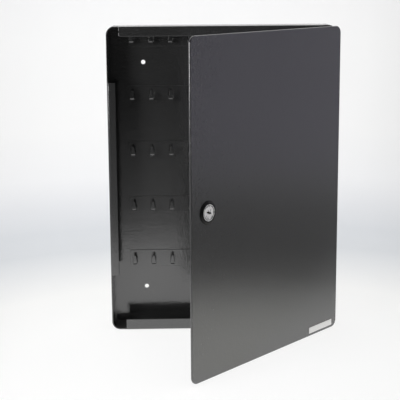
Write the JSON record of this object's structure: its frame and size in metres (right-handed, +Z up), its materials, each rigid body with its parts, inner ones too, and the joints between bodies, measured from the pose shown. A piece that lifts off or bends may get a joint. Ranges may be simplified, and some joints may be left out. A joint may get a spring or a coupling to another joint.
{
  "type": "key cabinet",
  "caption": "Shallow wall cabinet of dark sheet steel with rows of bent key hooks, closed by a flat hinged door with a cam lock.",
  "frame": {"origin": "middle of the four wall-screw holes, on the back face that lies on the wall", "axes": "+X to the viewer's right, towards the hinges; +Y into the wall; +Z up"},
  "size_m": [0.224, 0.1899, 0.3],
  "materials": {
    "black_powder_coat": "semi-gloss black powder coat with a fine orange peel",
    "zinc_steel": "bright zinc plating",
    "lock_chrome": "satin chrome with fine turning marks",
    "black_plastic": "glossy black",
    "light_plate": "plain satin plate",
    "brass": "stamped brass"
  },
  "bodies": {
    "cabinet": {"case_wrap": "black_powder_coat", "back_panel": "black_powder_coat", "hook_rail_1": "black_powder_coat", "hook_rail_2": "black_powder_coat", "hook_rail_3": "black_powder_coat", "hook_rail_4": "black_powder_coat", "hook_rail_5": "black_powder_coat", "hinge_bracket_lower": "black_powder_coat", "hinge_bracket_upper": "black_powder_coat", "hinge_pin_lower": "zinc_steel", "hinge_pin_upper": "zinc_steel"},
    "door": {"door_panel": "black_powder_coat", "hinge_ear_lower": "black_powder_coat", "hinge_ear_upper": "black_powder_coat", "label_plate": "light_plate", "lock_rosette": "black_plastic", "lock_housing": "lock_chrome", "lock_washer": "zinc_steel", "lock_nut": "zinc_steel"},
    "lock_core": {"lock_plug": "lock_chrome", "wafers": "brass", "wafer_springs": "zinc_steel", "stop_washer": "zinc_steel", "lock_cam": "zinc_steel", "cam_spring_washer": "zinc_steel", "cam_screw": "zinc_steel"}
  },
  "joints": [
    {"name": "door_swing", "type": "hinge", "parent": "cabinet", "child": "door", "pos_m": [0.1052, -0.025, -0.0007], "axis": [0, 0, 1], "range_deg": [-48, 52]},
    {"name": "lock_turn", "type": "hinge", "parent": "door", "child": "lock_core", "pos_m": [-0.0186, -0.17445, -0.0007], "axis": [0.7431, -0.6691, 0], "range_deg": [-90, 0]}
  ]
}
